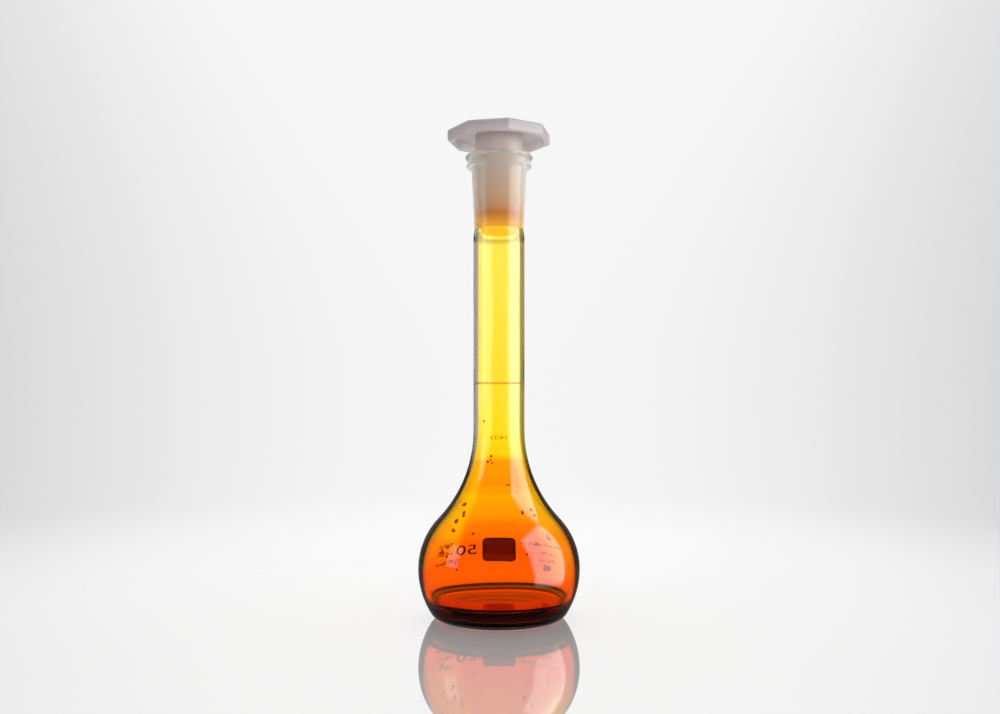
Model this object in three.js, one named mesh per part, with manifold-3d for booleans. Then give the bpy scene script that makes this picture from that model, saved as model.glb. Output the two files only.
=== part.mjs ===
// Volumetric flask, 50 ml, with a 14/23 ground socket and a moulded stopper.
// Millimetres, +Z up. The origin is on the flask's axis, on the face it stands on.
// The printed marks are on the +Y side.
import * as THREE from "three";
import { mergeVertices } from "three/addons/utils/BufferGeometryUtils.js";
import Module from "manifold-3d";

const wasm = await Module();
wasm.setup();

// Driving dimensions: the blown body.
const bulbRadius = 25;
const bulbCentreHeight = 15.2;
const shoulderRadius = 22.3;
const bulbWall = 2.1;
const footCornerRadius = 4;
const puntRadius = 13.5;
const puntRise = 0.7;
const floorThickness = 2.6;
const floorCornerRadius = 4;
const neckRadius = 7.9;
const neckWall = 1.4;
const flareRadius = 40;
const neckTopHeight = 119.95;
const sealWaist = 0.3;
const sealShoulder = 2;

// Driving dimensions: the ground socket, a 1 in 10 taper on the diameter.
const sealGap = 0.05;
const socketLargeBore = 14.5;
const socketLength = 23;
const taperOnDiameter = 0.1;
const socketWall = 1.5;
const mouthChamfer = 0.3;
const rimRadius = 10.5;
const rimBead = 0.6;
const collarRadius = 10.1;
const collarBead = 0.65;
const collarBelowRim = 3.2;
const grooveDepth = 0.5;
const collarFillet = 1.2;
const sealBlend = 1;
const beadSweep = 65;

// Driving dimensions: the stopper.
const plugClearance = 0.06;
const plugLengthInSocket = 19;
const plugWall = 1.2;
const plugTipChamfer = 0.5;
const headStandOff = 4;
const headAcrossFlats = 29.8;
const headThickness = 3.6;
const headEdgeRadius = 0.6;
const headCornerRadius = 1;
const headSides = 8;
const headTurn = 9.7;
const recessRadius = 14;
const plateThickness = 1.3;

// Driving dimensions: enamel marks and the solution.
const markGap = 0.08;
const markThickness = 0.12;
const graduationAboveFlare = 14.45;
const graduationWidth = 0.55;
const printHeight = 1.5;
const patchWidth = 11.7;
const patchHeight = 9;
const patchCornerRadius = 1.6;
const patchCentreHeight = 17.35;
const neckMarkWidth = 6;
const neckMarkBelowFlare = 2.85;
const solutionDepth = 3.2;
const solutionGap = 0.05;

// Rows of small print on the bulb: the middle height of each, and the arc it covers, in degrees from +Y
// towards +X.
const printRows = [
  { name: "print_left_row_1", height: 20.3, from: -59, to: -41, tall: printHeight },
  { name: "print_left_row_2", height: 17.0, from: -60, to: -41, tall: printHeight },
  { name: "print_left_row_3", height: 13.8, from: -61, to: -34.5, tall: printHeight },
  { name: "print_class_box", height: 17.5, from: -37, to: -18.5, tall: 4.2 },
  { name: "print_right_row_1", height: 20.1, from: 18, to: 61, tall: printHeight },
  { name: "print_right_row_2", height: 16.9, from: 35, to: 53.5, tall: printHeight },
  { name: "print_right_row_3", height: 14.2, from: 34, to: 55, tall: printHeight },
];

// Faces round each turned piece, and steps along each kind of arc.
const roundFaces = 48;
const puntSteps = 3;
const cornerSteps = 4;
const bulbSteps = 6;
const flareSteps = 9;
const beadSteps = 5;
const printSteps = 2;
const patchSteps = 5;
const patchCornerSteps = 4;
const headCornerSteps = 2;
const headEdgeSteps = 2;
const solutionSteps = 2;

// How far a cutter reaches past the face it starts from, and how near two corners are to be one.
const cutterMargin = 1;
const mergeDistance = 1e-4;

const halfWidthOf = (diameter) => diameter / 2;
const degrees = THREE.MathUtils.radToDeg;
const radians = THREE.MathUtils.degToRad;
const socketBottomHeight = neckTopHeight + sealGap;
const rimHeight = socketBottomHeight + socketLength;

const amberGlass = { color: 0xe8a21c, roughness: 0.08, metalness: 0 };
const groundGlass = { color: 0xe4ddcf, roughness: 0.6, metalness: 0 };
const polyethylene = { color: 0xcfc8c4, roughness: 0.45, metalness: 0 };
const enamel = { color: 0xf1efe8, roughness: 0.5, metalness: 0 };
const solutionLook = { color: 0x7a2c0c, roughness: 0.05, metalness: 0 };

// Points on an arc about (r, z), from one angle to another in degrees, both ends included.
function arc(r, z, radius, from, to, steps) {
  const points = [];
  for (let i = 0; i <= steps; i += 1) {
    const angle = radians(from + ((to - from) * i) / steps);
    points.push(new THREE.Vector2(r + radius * Math.cos(angle), z + radius * Math.sin(angle)));
  }
  return points;
}

// Turns a profile of (radius, height) points about the axis.
function turned(points) {
  const geometry = new THREE.LatheGeometry(points, roundFaces);
  geometry.rotateX(Math.PI / 2);
  return geometry;
}

// A closed geometry as a solid that can be joined and cut.
function solidOf(geometry) {
  const bare = geometry.clone();
  bare.deleteAttribute("normal");
  bare.deleteAttribute("uv");
  const merged = mergeVertices(bare, mergeDistance);
  return new wasm.Manifold(
    new wasm.Mesh({
      numProp: 3,
      vertProperties: new Float32Array(merged.attributes.position.array),
      triVerts: new Uint32Array(merged.index.array),
    }),
  );
}

function geometryOf(solid) {
  const mesh = solid.getMesh();
  const geometry = new THREE.BufferGeometry();
  geometry.setAttribute("position", new THREE.BufferAttribute(mesh.vertProperties, 3));
  geometry.setIndex(new THREE.BufferAttribute(mesh.triVerts, 1));
  geometry.computeVertexNormals();
  return geometry;
}

function piece(name, geometry, look) {
  const mesh = new THREE.Mesh(geometry, new THREE.MeshStandardMaterial(look));
  mesh.name = name;
  return mesh;
}

// Below its widest height the bulb is a sphere. Above it the shoulder is a tighter arc that touches that
// sphere.
const shoulderCentre = bulbRadius - shoulderRadius;

// The bulb's surface, moved out by an offset, between two angles above its widest height.
function bulbCurve(offset, from, to, steps) {
  const lower = [];
  const upper = [];
  if (from < 0) {
    lower.push(...arc(0, bulbCentreHeight, bulbRadius + offset, from, Math.min(to, 0), steps));
  }
  if (to > 0) {
    const start = Math.max(from, 0);
    upper.push(...arc(shoulderCentre, bulbCentreHeight, shoulderRadius + offset, start, to, steps));
  }
  return lower.length && upper.length ? [...lower, ...upper.slice(1)] : [...lower, ...upper];
}

// Where the flare leaves the neck: its arc touches both the neck and the shoulder.
function flareHeight(offset, neck, flare) {
  const across = neck + flare - shoulderCentre;
  return bulbCentreHeight + Math.sqrt((shoulderRadius + offset + flare) ** 2 - across ** 2);
}

// The rounded corner between a flat floor and the bulb.
function cornerOf(offset, floor, corner) {
  const z = floor + corner;
  const r = Math.sqrt((bulbRadius + offset - corner) ** 2 - (bulbCentreHeight - z) ** 2);
  return { r, z, lift: degrees(Math.atan2(z - bulbCentreHeight, r)) };
}

// One surface of the body, from the edge of its floor up to the foot of its neck.
function bodyCurve(offset, floor, corner, neck, flare) {
  const foot = cornerOf(offset, floor, corner);
  const flareTop = flareHeight(offset, neck, flare);
  const touch = degrees(Math.atan2(flareTop - bulbCentreHeight, neck + flare - shoulderCentre));
  return [
    ...arc(foot.r, foot.z, corner, -90, foot.lift, cornerSteps),
    ...bulbCurve(offset, foot.lift, touch, bulbSteps).slice(1),
    ...arc(neck + flare, flareTop, flare, 180 + touch, 180, flareSteps).slice(1),
  ];
}

const boreRadius = neckRadius - neckWall;
const flareTopHeight = flareHeight(0, neckRadius, flareRadius);

function flaskBody() {
  const puntArcRadius = (puntRadius ** 2 + puntRise ** 2) / (2 * puntRise);
  const puntEdge = degrees(Math.acos(puntRadius / puntArcRadius));
  const innerFlare = flareRadius + neckWall;
  const inner = bodyCurve(-bulbWall, floorThickness, floorCornerRadius, boreRadius, innerFlare);
  return turned([
    ...arc(0, puntRise - puntArcRadius, puntArcRadius, 90, puntEdge, puntSteps),
    ...bodyCurve(0, 0, footCornerRadius, neckRadius, flareRadius),
    new THREE.Vector2(neckRadius, neckTopHeight - sealShoulder),
    new THREE.Vector2(neckRadius - sealWaist, neckTopHeight),
    new THREE.Vector2(boreRadius, neckTopHeight),
    ...inner.reverse(),
    new THREE.Vector2(0, floorThickness),
  ]);
}

// The socket's bore radius at a height; the stopper's plug follows the same taper.
function taperRadius(height) {
  return halfWidthOf(socketLargeBore) - ((rimHeight - height) * taperOnDiameter) / 2;
}

function groundSocket() {
  const collarHeight = rimHeight - collarBelowRim;
  const filletFoot = collarHeight - collarBead - collarFillet;
  const collarCore = collarRadius - collarBead;
  const rimCore = rimRadius - rimBead;
  const grooveHeight = (collarHeight + collarBead + rimHeight - 2 * rimBead) / 2;
  const outsideRadius = (height) => taperRadius(height) + socketWall;
  return turned([
    new THREE.Vector2(taperRadius(socketBottomHeight), socketBottomHeight),
    new THREE.Vector2(neckRadius - sealWaist, socketBottomHeight),
    new THREE.Vector2(outsideRadius(socketBottomHeight + sealBlend), socketBottomHeight + sealBlend),
    new THREE.Vector2(outsideRadius(filletFoot), filletFoot),
    ...arc(collarCore, collarHeight, collarBead, -90, beadSweep, beadSteps),
    new THREE.Vector2(collarRadius - grooveDepth, grooveHeight),
    ...arc(rimCore, rimHeight - rimBead, rimBead, -beadSweep, 90, beadSteps),
    new THREE.Vector2(taperRadius(rimHeight) + mouthChamfer, rimHeight),
    new THREE.Vector2(taperRadius(rimHeight - mouthChamfer), rimHeight - mouthChamfer),
    new THREE.Vector2(taperRadius(socketBottomHeight), socketBottomHeight),
  ]);
}

// An octagon with rounded corners, one corner on +X.
function headOutline() {
  const outline = new THREE.Shape();
  const halfTurn = Math.PI / headSides;
  const cornerAt = (halfWidthOf(headAcrossFlats) - headCornerRadius) / Math.cos(halfTurn);
  for (let i = 0; i < headSides; i += 1) {
    const angle = 2 * halfTurn * i;
    const x = cornerAt * Math.cos(angle);
    const y = cornerAt * Math.sin(angle);
    outline.absarc(x, y, headCornerRadius, angle - halfTurn, angle + halfTurn, false);
  }
  outline.closePath();
  return outline;
}

function stopper() {
  const headBottom = rimHeight + headStandOff;
  const headTop = headBottom + headThickness;
  const plateBottom = headTop - plateThickness;
  const tip = rimHeight - plugLengthInSocket;
  const plugRadius = (height) => taperRadius(height) - plugClearance;
  const overlap = plateThickness / 2;
  const head = new THREE.ExtrudeGeometry(headOutline(), {
    depth: headThickness - 2 * headEdgeRadius,
    curveSegments: headCornerSteps,
    bevelThickness: headEdgeRadius,
    bevelSize: headEdgeRadius,
    bevelOffset: -headEdgeRadius,
    bevelSegments: headEdgeSteps,
  });
  head.translate(0, 0, headBottom + headEdgeRadius);
  const recess = turned([
    new THREE.Vector2(0, headBottom - cutterMargin),
    new THREE.Vector2(recessRadius, headBottom - cutterMargin),
    new THREE.Vector2(recessRadius, plateBottom),
    new THREE.Vector2(0, plateBottom),
  ]);
  const plug = turned([
    new THREE.Vector2(plugRadius(tip) - plugWall, tip),
    new THREE.Vector2(plugRadius(tip) - plugTipChamfer, tip),
    new THREE.Vector2(plugRadius(tip + plugTipChamfer), tip + plugTipChamfer),
    new THREE.Vector2(plugRadius(plateBottom), plateBottom),
    new THREE.Vector2(plugRadius(plateBottom), plateBottom + overlap),
    new THREE.Vector2(plugRadius(plateBottom) - plugWall, plateBottom + overlap),
    new THREE.Vector2(plugRadius(plateBottom) - plugWall, plateBottom),
    new THREE.Vector2(plugRadius(tip) - plugWall, tip),
  ]);
  return geometryOf(solidOf(head).subtract(solidOf(recess)).add(solidOf(plug)));
}

// A thin ring of enamel that follows the bulb between two heights.
function bulbBand(low, high, steps) {
  const angleAt = (height) => {
    const radius = height < bulbCentreHeight ? bulbRadius : shoulderRadius;
    return degrees(Math.asin((height - bulbCentreHeight) / radius));
  };
  const inner = bulbCurve(markGap, angleAt(low), angleAt(high), steps);
  const outer = bulbCurve(markGap + markThickness, angleAt(low), angleAt(high), steps);
  return turned([...outer, ...inner.reverse(), outer[0]]);
}

// A wedge about the axis, with its two faces at angles measured from +Y towards +X.
function wedge(from, to) {
  const reach = 2 * bulbRadius;
  const corner = (angle) => [reach * Math.sin(radians(angle)), reach * Math.cos(radians(angle))];
  const outline = new THREE.Shape();
  outline.moveTo(0, 0);
  outline.lineTo(...corner(from));
  outline.lineTo(...corner((from + to) / 2));
  outline.lineTo(...corner(to));
  outline.closePath();
  return new THREE.ExtrudeGeometry(outline, { depth: rimHeight, bevelEnabled: false });
}

function printRow(row) {
  const band = bulbBand(row.height - row.tall / 2, row.height + row.tall / 2, printSteps);
  return geometryOf(solidOf(band).intersect(solidOf(wedge(row.from, row.to))));
}

// A rounded rectangle, swept along +Y from the axis so that it cuts its outline out of a band.
function patchCutter() {
  const x = patchWidth / 2 - patchCornerRadius;
  const z = patchHeight / 2 - patchCornerRadius;
  const outline = new THREE.Shape();
  outline.absarc(x, z, patchCornerRadius, 0, Math.PI / 2, false);
  outline.absarc(-x, z, patchCornerRadius, Math.PI / 2, Math.PI, false);
  outline.absarc(-x, -z, patchCornerRadius, Math.PI, 1.5 * Math.PI, false);
  outline.absarc(x, -z, patchCornerRadius, 1.5 * Math.PI, 2 * Math.PI, false);
  outline.closePath();
  const cutter = new THREE.ExtrudeGeometry(outline, {
    depth: 2 * bulbRadius,
    bevelEnabled: false,
    curveSegments: patchCornerSteps,
  });
  cutter.rotateX(-Math.PI / 2);
  cutter.translate(0, 0, patchCentreHeight);
  return cutter;
}

function writingPatch() {
  const half = patchHeight / 2 + markThickness;
  const band = bulbBand(patchCentreHeight - half, patchCentreHeight + half, patchSteps);
  return geometryOf(solidOf(band).intersect(solidOf(patchCutter())));
}

// The outside radius of the neck, or of the flare just below it.
function neckRadiusAt(height) {
  const drop = Math.max(flareTopHeight - height, 0);
  return neckRadius + flareRadius - Math.sqrt(flareRadius ** 2 - drop ** 2);
}

// A thin ring of enamel round the neck.
function neckBand(middle, tall) {
  const low = middle - tall / 2;
  const high = middle + tall / 2;
  const inside = (height) => neckRadiusAt(height) + markGap;
  const outside = (height) => inside(height) + markThickness;
  return turned([
    new THREE.Vector2(inside(low), low),
    new THREE.Vector2(outside(low), low),
    new THREE.Vector2(outside(high), high),
    new THREE.Vector2(inside(high), high),
    new THREE.Vector2(inside(low), low),
  ]);
}

function neckMark() {
  const middle = flareTopHeight - neckMarkBelowFlare;
  const halfArc = degrees(neckMarkWidth / 2 / neckRadius);
  const sector = solidOf(wedge(-halfArc, halfArc));
  return geometryOf(solidOf(neckBand(middle, printHeight)).intersect(sector));
}

// The solution fills the floor of the bulb up to a level surface.
function solution() {
  const offset = -bulbWall - solutionGap;
  const floor = floorThickness + solutionGap;
  const corner = floorCornerRadius - solutionGap;
  const foot = cornerOf(offset, floor, corner);
  const level = floorThickness + solutionDepth;
  const edge = degrees(Math.asin(Math.min((level - foot.z) / corner, 1)));
  const top = degrees(Math.asin((level - bulbCentreHeight) / (bulbRadius + offset)));
  const wall = arc(foot.r, foot.z, corner, -90, Math.min(edge, foot.lift), cornerSteps);
  if (top > foot.lift) {
    wall.push(...bulbCurve(offset, foot.lift, top, solutionSteps).slice(1));
  }
  return turned([new THREE.Vector2(0, floor), ...wall, new THREE.Vector2(0, level)]);
}

const graduationHeight = flareTopHeight + graduationAboveFlare;
const flask = new THREE.Group();
flask.add(piece("flask_body", flaskBody(), amberGlass));
flask.add(piece("ground_socket", groundSocket(), groundGlass));
flask.add(piece("graduation_mark", neckBand(graduationHeight, graduationWidth), enamel));
flask.add(piece("print_neck_size", neckMark(), enamel));
flask.add(piece("writing_patch", writingPatch(), enamel));
for (const row of printRows) {
  flask.add(piece(row.name, printRow(row), enamel));
}
flask.add(piece("solution", solution(), solutionLook));

const stopperPiece = piece("stopper", stopper(), polyethylene);
stopperPiece.rotation.z = radians(headTurn - 90);
flask.add(stopperPiece);

export default flask;
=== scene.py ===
import math
import random

import bmesh
import bpy
from bpy.props import FloatProperty, FloatVectorProperty, PointerProperty
from mathutils import Matrix, Vector


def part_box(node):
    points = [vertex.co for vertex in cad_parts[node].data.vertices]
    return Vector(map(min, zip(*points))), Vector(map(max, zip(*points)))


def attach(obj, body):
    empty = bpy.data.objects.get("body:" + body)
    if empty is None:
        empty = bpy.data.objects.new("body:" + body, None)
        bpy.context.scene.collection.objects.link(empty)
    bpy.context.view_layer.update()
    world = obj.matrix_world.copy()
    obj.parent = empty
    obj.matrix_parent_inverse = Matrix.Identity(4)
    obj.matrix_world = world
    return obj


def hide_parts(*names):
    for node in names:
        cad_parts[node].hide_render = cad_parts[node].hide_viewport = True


bl_info = {
    "name": "Volumetric Flask",
    "version": (1, 0, 0),
    "blender": (4, 5, 0),
    "location": "View3D > Sidebar > Flask",
    "description": "Amber volumetric flask with a stopper, enamel marks and a little solution",
    "category": "Add Mesh",
}

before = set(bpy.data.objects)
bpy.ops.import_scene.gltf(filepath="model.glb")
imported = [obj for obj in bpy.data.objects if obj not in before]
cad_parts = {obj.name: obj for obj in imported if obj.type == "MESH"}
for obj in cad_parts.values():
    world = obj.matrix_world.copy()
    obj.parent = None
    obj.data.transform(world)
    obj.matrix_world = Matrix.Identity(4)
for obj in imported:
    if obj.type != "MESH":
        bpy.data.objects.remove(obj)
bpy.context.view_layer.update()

MM = 0.001
ROUND_STEPS = 160
SAME_POINT = 1e-7

_, body_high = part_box("flask_body")
socket_low, socket_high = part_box("ground_socket")
stopper_low, stopper_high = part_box("stopper")
ring_low, ring_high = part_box("graduation_mark")
patch_low, patch_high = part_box("writing_patch")
_, solution_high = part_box("solution")


# ---------------- colour and nodes

def linear(hex_value):
    """An sRGB hex colour as linear RGBA."""
    channels = [int(hex_value[i:i + 2], 16) / 255 for i in (0, 2, 4)]
    curve = [c / 12.92 if c <= 0.04045 else ((c + 0.055) / 1.055) ** 2.4 for c in channels]
    return (*curve, 1.0)


def feed(tree, node, inputs):
    """Gives a node its inputs, each a steady value, a socket, or a node that stands for its first output."""
    for key, value in inputs.items():
        if isinstance(value, bpy.types.Node):
            value = next(socket for socket in value.outputs if socket.enabled)
        if isinstance(value, bpy.types.NodeSocket):
            tree.links.new(value, node.inputs[key])
        else:
            node.inputs[key].default_value = value


def add(tree, kind, inputs=None, stops=(), **settings):
    """Adds a shader node with its settings and inputs, and a ramp's stops, whose colours may be in hex."""
    node = tree.nodes.new("ShaderNode" + kind)
    for name, value in settings.items():
        setattr(node, name, value)
    feed(tree, node, inputs or {})
    for index, (position, rgba) in enumerate(stops):
        points = node.color_ramp.elements
        point = points[index] if index < 2 else points.new(position)
        point.position = position
        point.color = linear(rgba) if isinstance(rgba, str) else rgba
    return node


def new_material(name, **values):
    """A material with one Principled shader, whose steady values are given by socket name."""
    material = bpy.data.materials.new(name)
    material.use_nodes = True
    tree = material.node_tree
    tree.nodes.clear()
    shader = add(tree, "BsdfPrincipled", {key.replace("_", " "): value for key, value in values.items()})
    add(tree, "OutputMaterial", {"Surface": shader})
    place = add(tree, "TexCoord").outputs["Object"]
    return material, tree, shader, place


def clouds(tree, place, size, detail, *stops):
    """Soft clouds of a size in millimetres: gives their strength, and their colour between the stops."""
    cloud = add(tree, "TexNoise", {"Vector": place, "Scale": 1 / (size * MM), "Detail": detail})
    return cloud, add(tree, "ValToRGB", {"Fac": cloud}, stops=stops)


def mirror_rays(tree, path):
    """Marks the sharp reflections, which only clear glass makes."""
    return add(tree, "Math", {0: path.outputs["Is Singular Ray"], 1: path.outputs["Is Reflection Ray"]},
               operation="MULTIPLY")


def levelled(tree, direction):
    """The level part of a direction, and the same at full length."""
    level = add(tree, "VectorMath", {0: direction, 1: (1.0, 1.0, 0.0)}, operation="MULTIPLY")
    return level, add(tree, "VectorMath", {0: level}, operation="NORMALIZE")


# ---------------- settings

def length(millimetres, description=""):
    return FloatProperty(description=description, default=millimetres * MM, subtype="DISTANCE", unit="LENGTH",
                         precision=5)


def colour(hex_value, description=""):
    return FloatVectorProperty(description=description, default=linear(hex_value), size=4, min=0.0, max=1.0,
                               subtype="COLOR")


class FlaskGlassSettings(bpy.types.PropertyGroup):
    bulb_height: length(15.2, "To the bulb's widest point")
    shoulder_radius: length(22.3, "Above the widest point")
    bulb_wall: length(2.1)
    foot_corner: length(4.0, "Rounding between the base and the bulb")
    punt_radius: length(13.5, "Of the pushed-up middle of the base")
    punt_rise: length(0.7)
    floor_thickness: length(2.6)
    floor_corner: length(4.0, "Rounding inside the base")
    neck_radius: length(7.9)
    neck_wall: length(1.4)
    flare_radius: length(40.0, "Arc between the neck and the shoulder")
    seal_height: length(2.0, "Where the neck draws in")
    wander: length(0.07, "How far the inner wall wanders")
    neck_stain: colour("FFD846", "Light through both amber walls at the top of the neck")
    graduation_stain: colour("FFCE2C", "The same, at the graduation")
    flare_stain: colour("FB9304", "The same, at the flare")
    shoulder_stain: colour("FF9C00", "The same, at the shoulder")
    bulb_stain: colour("FE5400", "The same, at the bulb")
    # Painted light: the next two stand in for the right softbox's light in the glass, yellow on the bulb's
    # right flank and pale on the neck.
    flank_painted_light: colour("FFD812", "The same, where the stain was brushed thin")
    neck_painted_highlight: colour("FFFFC8", "The same, where it was brushed thin on the neck")
    # Painted shade: the outline's near black, and the neck's grey, stand partly for the longer path through
    # the stain and partly for the dark surroundings seen along the glass's edge.
    outline_painted_shade: colour("050201", "The stained wall seen on edge")
    neck_outline_painted_shade: colour("6E6872", "The neck's thinner wall seen on edge")


class FlaskSocketSettings(bpy.types.PropertyGroup):
    taper: FloatProperty(description="Change of diameter for each unit of length", default=0.1)
    large_radius: length(7.25)
    wall: length(1.5, "Glass thickness round the taper")
    rim_bead: length(0.6)
    collar_radius: length(10.1, "Outside of the lower bead")
    collar_bead: length(0.65)
    collar_below: length(3.2)
    collar_fillet: length(1.2)
    groove_depth: length(0.5, "Between the beads")
    groove_radius: length(0.35)
    lip: length(0.5)
    waist: length(0.3)
    waist_height: length(1.5)
    ground: colour("F8F4EE", "The ground bore's own tint")


class FlaskStopperSettings(bpy.types.PropertyGroup):
    across_flats: length(29.8)
    head_thickness: length(3.6)
    plate_thickness: length(1.3, "Above the recess")
    recess_radius: length(14.0)
    recess_draft: length(0.25)
    plug_wall: length(1.2)
    plug_clearance: length(0.06, "Gap between plug and socket")
    tip_chamfer: length(0.5)
    edge_radius: length(0.6)
    corner_radius: length(1.0)
    turn: FloatProperty(description="Direction of one corner, from -Y towards +X", default=math.radians(9.7),
                        subtype="ANGLE", unit="ROTATION")
    plastic: colour("D4CECF")
    plastic_shade: colour("C6C0C2", "Where the moulding is a little darker")
    # Painted light: the plug's warm tint stands in for the amber neck's light showing through it.
    plug: colour("F8E6DE", "The thin plug's colour")


class FlaskMarkSettings(bpy.types.PropertyGroup):
    film: length(0.1)
    patch_corner: length(1.6)
    patch_frame: length(0.75)
    enamel: colour("EFEBE0", "The enamel's outer face")
    # Painted shade: the enamel's back seen through the stained glass with little light on it; the field's
    # lighter colour is painted light through the thinner enamel.
    underside: colour("3A1206", "The enamel's face against the stained glass")
    field: colour("A04014", "The writing patch's thin field against the stained glass")
    ring: colour("E8C890", "The graduation, a thin amber line")


class FlaskSolutionSettings(bpy.types.PropertyGroup):
    climb: length(0.45, "How far the surface climbs the wall")
    reach: length(1.4, "Width of the curved edge of the surface")
    # Painted shade: the next two size the dark ring that stands in for the meniscus's dark line.
    tide: length(0.75, "Height of the dried line above the surface")
    shade_ring_depth: length(0.25, "How far the dried line stands out from the wall")
    overlap: length(0.03, "How far the solution reaches into the wall, so that no air shows between")
    liquid: colour("FDC200", "Light left after one millimetre of the solution")
    crust: colour("5A2008")
    drop: colour("F04818")


class FlaskStageSettings(bpy.types.PropertyGroup):
    camera_distance: length(302.0, "From the flask's axis")
    camera_height: length(67.3)
    aim_height: length(70.0, "Height on the flask that the softboxes point at")
    focal_length: FloatProperty(description="Lens, on a 36 mm sensor", default=35.0)
    shift: FloatProperty(description="Sideways shift of the lens", default=0.001)
    rise: FloatProperty(description="Upward shift of the lens", default=0.043)
    bench_half: length(500.0)
    bench_drop: length(0.1, "Below the flask")
    bench: colour("F7F7F7")
    backdrop: colour("F6F6F6", "The middle of the backdrop")
    backdrop_edge: colour("D6D6D6", "The backdrop away from its middle")


# ---------------- materials

def outline(tree, height, level, across):
    """The glass's outline, where the wall's level direction turns away from the eye: darkened partly by the
    longer path through the stain and partly by painted shade for the dark surroundings seen along the edge.
    The base stays clear.
    """
    # The slope of the eye's ray is divided out, so that the glass isn't all outline from above: the level
    # share of the ray is the root of f * (2 - f), where f is how far it turns from straight down.
    along = add(tree, "LayerWeight", {"Blend": 0.5, "Normal": across}).outputs["Facing"]
    straight_up = add(tree, "CombineXYZ", {"Z": 1.0})
    turned_away = add(tree, "LayerWeight", {"Blend": 0.5, "Normal": straight_up}).outputs["Facing"]
    rest = add(tree, "Math", {0: 2.0, 1: turned_away}, operation="SUBTRACT")
    squared = add(tree, "Math", {0: turned_away, 1: rest}, operation="MULTIPLY")
    level_share = add(tree, "Math", {0: squared}, operation="SQRT")
    cosine = add(tree, "Math", {0: 1.0, 1: along}, operation="SUBTRACT")
    level_cosine = add(tree, "Math", {0: cosine, 1: level_share}, operation="DIVIDE")
    facing = add(tree, "Math", {0: 1.0, 1: level_cosine}, operation="SUBTRACT")
    start = add(tree, "MapRange", {
        "Value": height, "From Min": 30 * MM, "From Max": 60 * MM, "To Min": 0.58, "To Max": 0.38})
    past = add(tree, "Math", {0: facing, 1: start}, operation="SUBTRACT")
    dark = add(tree, "MapRange", {"Value": past, "From Max": 0.1})
    steep = add(tree, "VectorMath", {0: level}, operation="LENGTH")
    upright = add(tree, "MapRange", {"Value": steep, "From Min": 0.2, "From Max": 0.6})
    return add(tree, "Math", {0: dark, 1: upright}, operation="MULTIPLY")


def amber_stained_glass(glass):
    """Borosilicate glass with a fired amber stain outside: pale in the neck where the stain is thin, deep in
    the bulb, partly the stain and partly painted backlight and shade, and dark at its outline, where the eye
    looks along the wall."""
    material, tree, shader, place = new_material(
        "amber_stained_borosilicate", Transmission_Weight=1.0, Roughness=0.0, IOR=1.473)
    top = body_high.z
    height = add(tree, "SeparateXYZ", {"Vector": place}).outputs["Z"]
    share = add(tree, "MapRange", {"Value": height, "From Max": top})
    # Heights are in millimetres. The near-black band from 1.3 to 5.6 mm is painted shade at the foot. The
    # steps near 39 and 49 mm, and the fall from yellow to red, are partly the stain and partly painted light,
    # the backlight's brightness seen through the glass.
    stain_and_painted_light_levels = [
        (0.75, "FFC080"), (1.3, "2C1816"), (5.6, "341A16"), (7.2, "F05400"),
        (9, "FF5E00"), (13, "FF5A00"), (19, glass.bulb_stain), (25, "FE5A00"),
        (32, glass.shoulder_stain), (38.9, "FFA400"), (39.7, "F48A00"), (48.8, glass.flare_stain),
        (49.7, "FCC40C"), (57, "FDCC14"), (72, glass.graduation_stain), (112, glass.neck_stain),
    ]
    stain = add(tree, "ValToRGB", {"Fac": share}, stops=[(z * MM / top, rgba) for z, rgba in stain_and_painted_light_levels])
    level, across = levelled(tree, add(tree, "NewGeometry").outputs["Normal"])
    # Painted light: down the right side of the bulb and flare the tint turns yellow, and on the neck pale,
    # standing in for the right softbox's light reflected in the glass.
    side = add(tree, "SeparateXYZ", {"Vector": across}).outputs["X"]
    begins = add(tree, "MapRange", {
        "Value": height, "From Min": 44 * MM, "From Max": 56 * MM, "To Min": 0.5, "To Max": 0.24})
    inwards = add(tree, "Math", {0: side, 1: begins}, operation="SUBTRACT")
    painted_light_share = add(tree, "MapRange", {"Value": inwards, "From Max": 0.2, "To Max": 0.95},
                  interpolation_type="SMOOTHSTEP")
    above = add(tree, "MapRange", {"Value": height, "From Min": 13 * MM, "From Max": 24 * MM})
    thin = add(tree, "Math", {0: painted_light_share, 1: above}, operation="MULTIPLY")
    painted_light_tint = add(tree, "ValToRGB", {"Fac": share}, stops=[
        (0.0, glass.flank_painted_light), (46 * MM / top, glass.flank_painted_light), (58 * MM / top, glass.neck_painted_highlight)])
    stain = add(tree, "Mix", {"Factor": thin, "A": stain, "B": painted_light_tint}, data_type="RGBA")
    edge = outline(tree, height, level, across)
    # Painted shade at the outline: near black on the bulb, grey on the neck.
    on_neck = add(tree, "MapRange", {"Value": height, "From Min": 45 * MM, "From Max": 60 * MM})
    outline_shade_tint = add(tree, "Mix", {"Factor": on_neck, "A": glass.outline_painted_shade, "B": glass.neck_outline_painted_shade},
                    data_type="RGBA")
    tint = add(tree, "Mix", {"Factor": edge, "A": stain, "B": outline_shade_tint}, data_type="RGBA")
    # Cords left by drawing the tube: faint ridges about 5 mm apart round it, stretched along it.
    drawn = add(tree, "Mapping", {"Vector": place, "Scale": (1.0, 1.0, 0.1)})
    cord = add(tree, "TexNoise", {"Vector": drawn, "Scale": 1 / (5 * MM), "Detail": 1.0})
    bump = add(tree, "Bump", {"Height": cord, "Strength": 0.06, "Distance": 0.2 * MM})
    feed(tree, shader, {"Base Color": tint, "Normal": bump})
    return material


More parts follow.
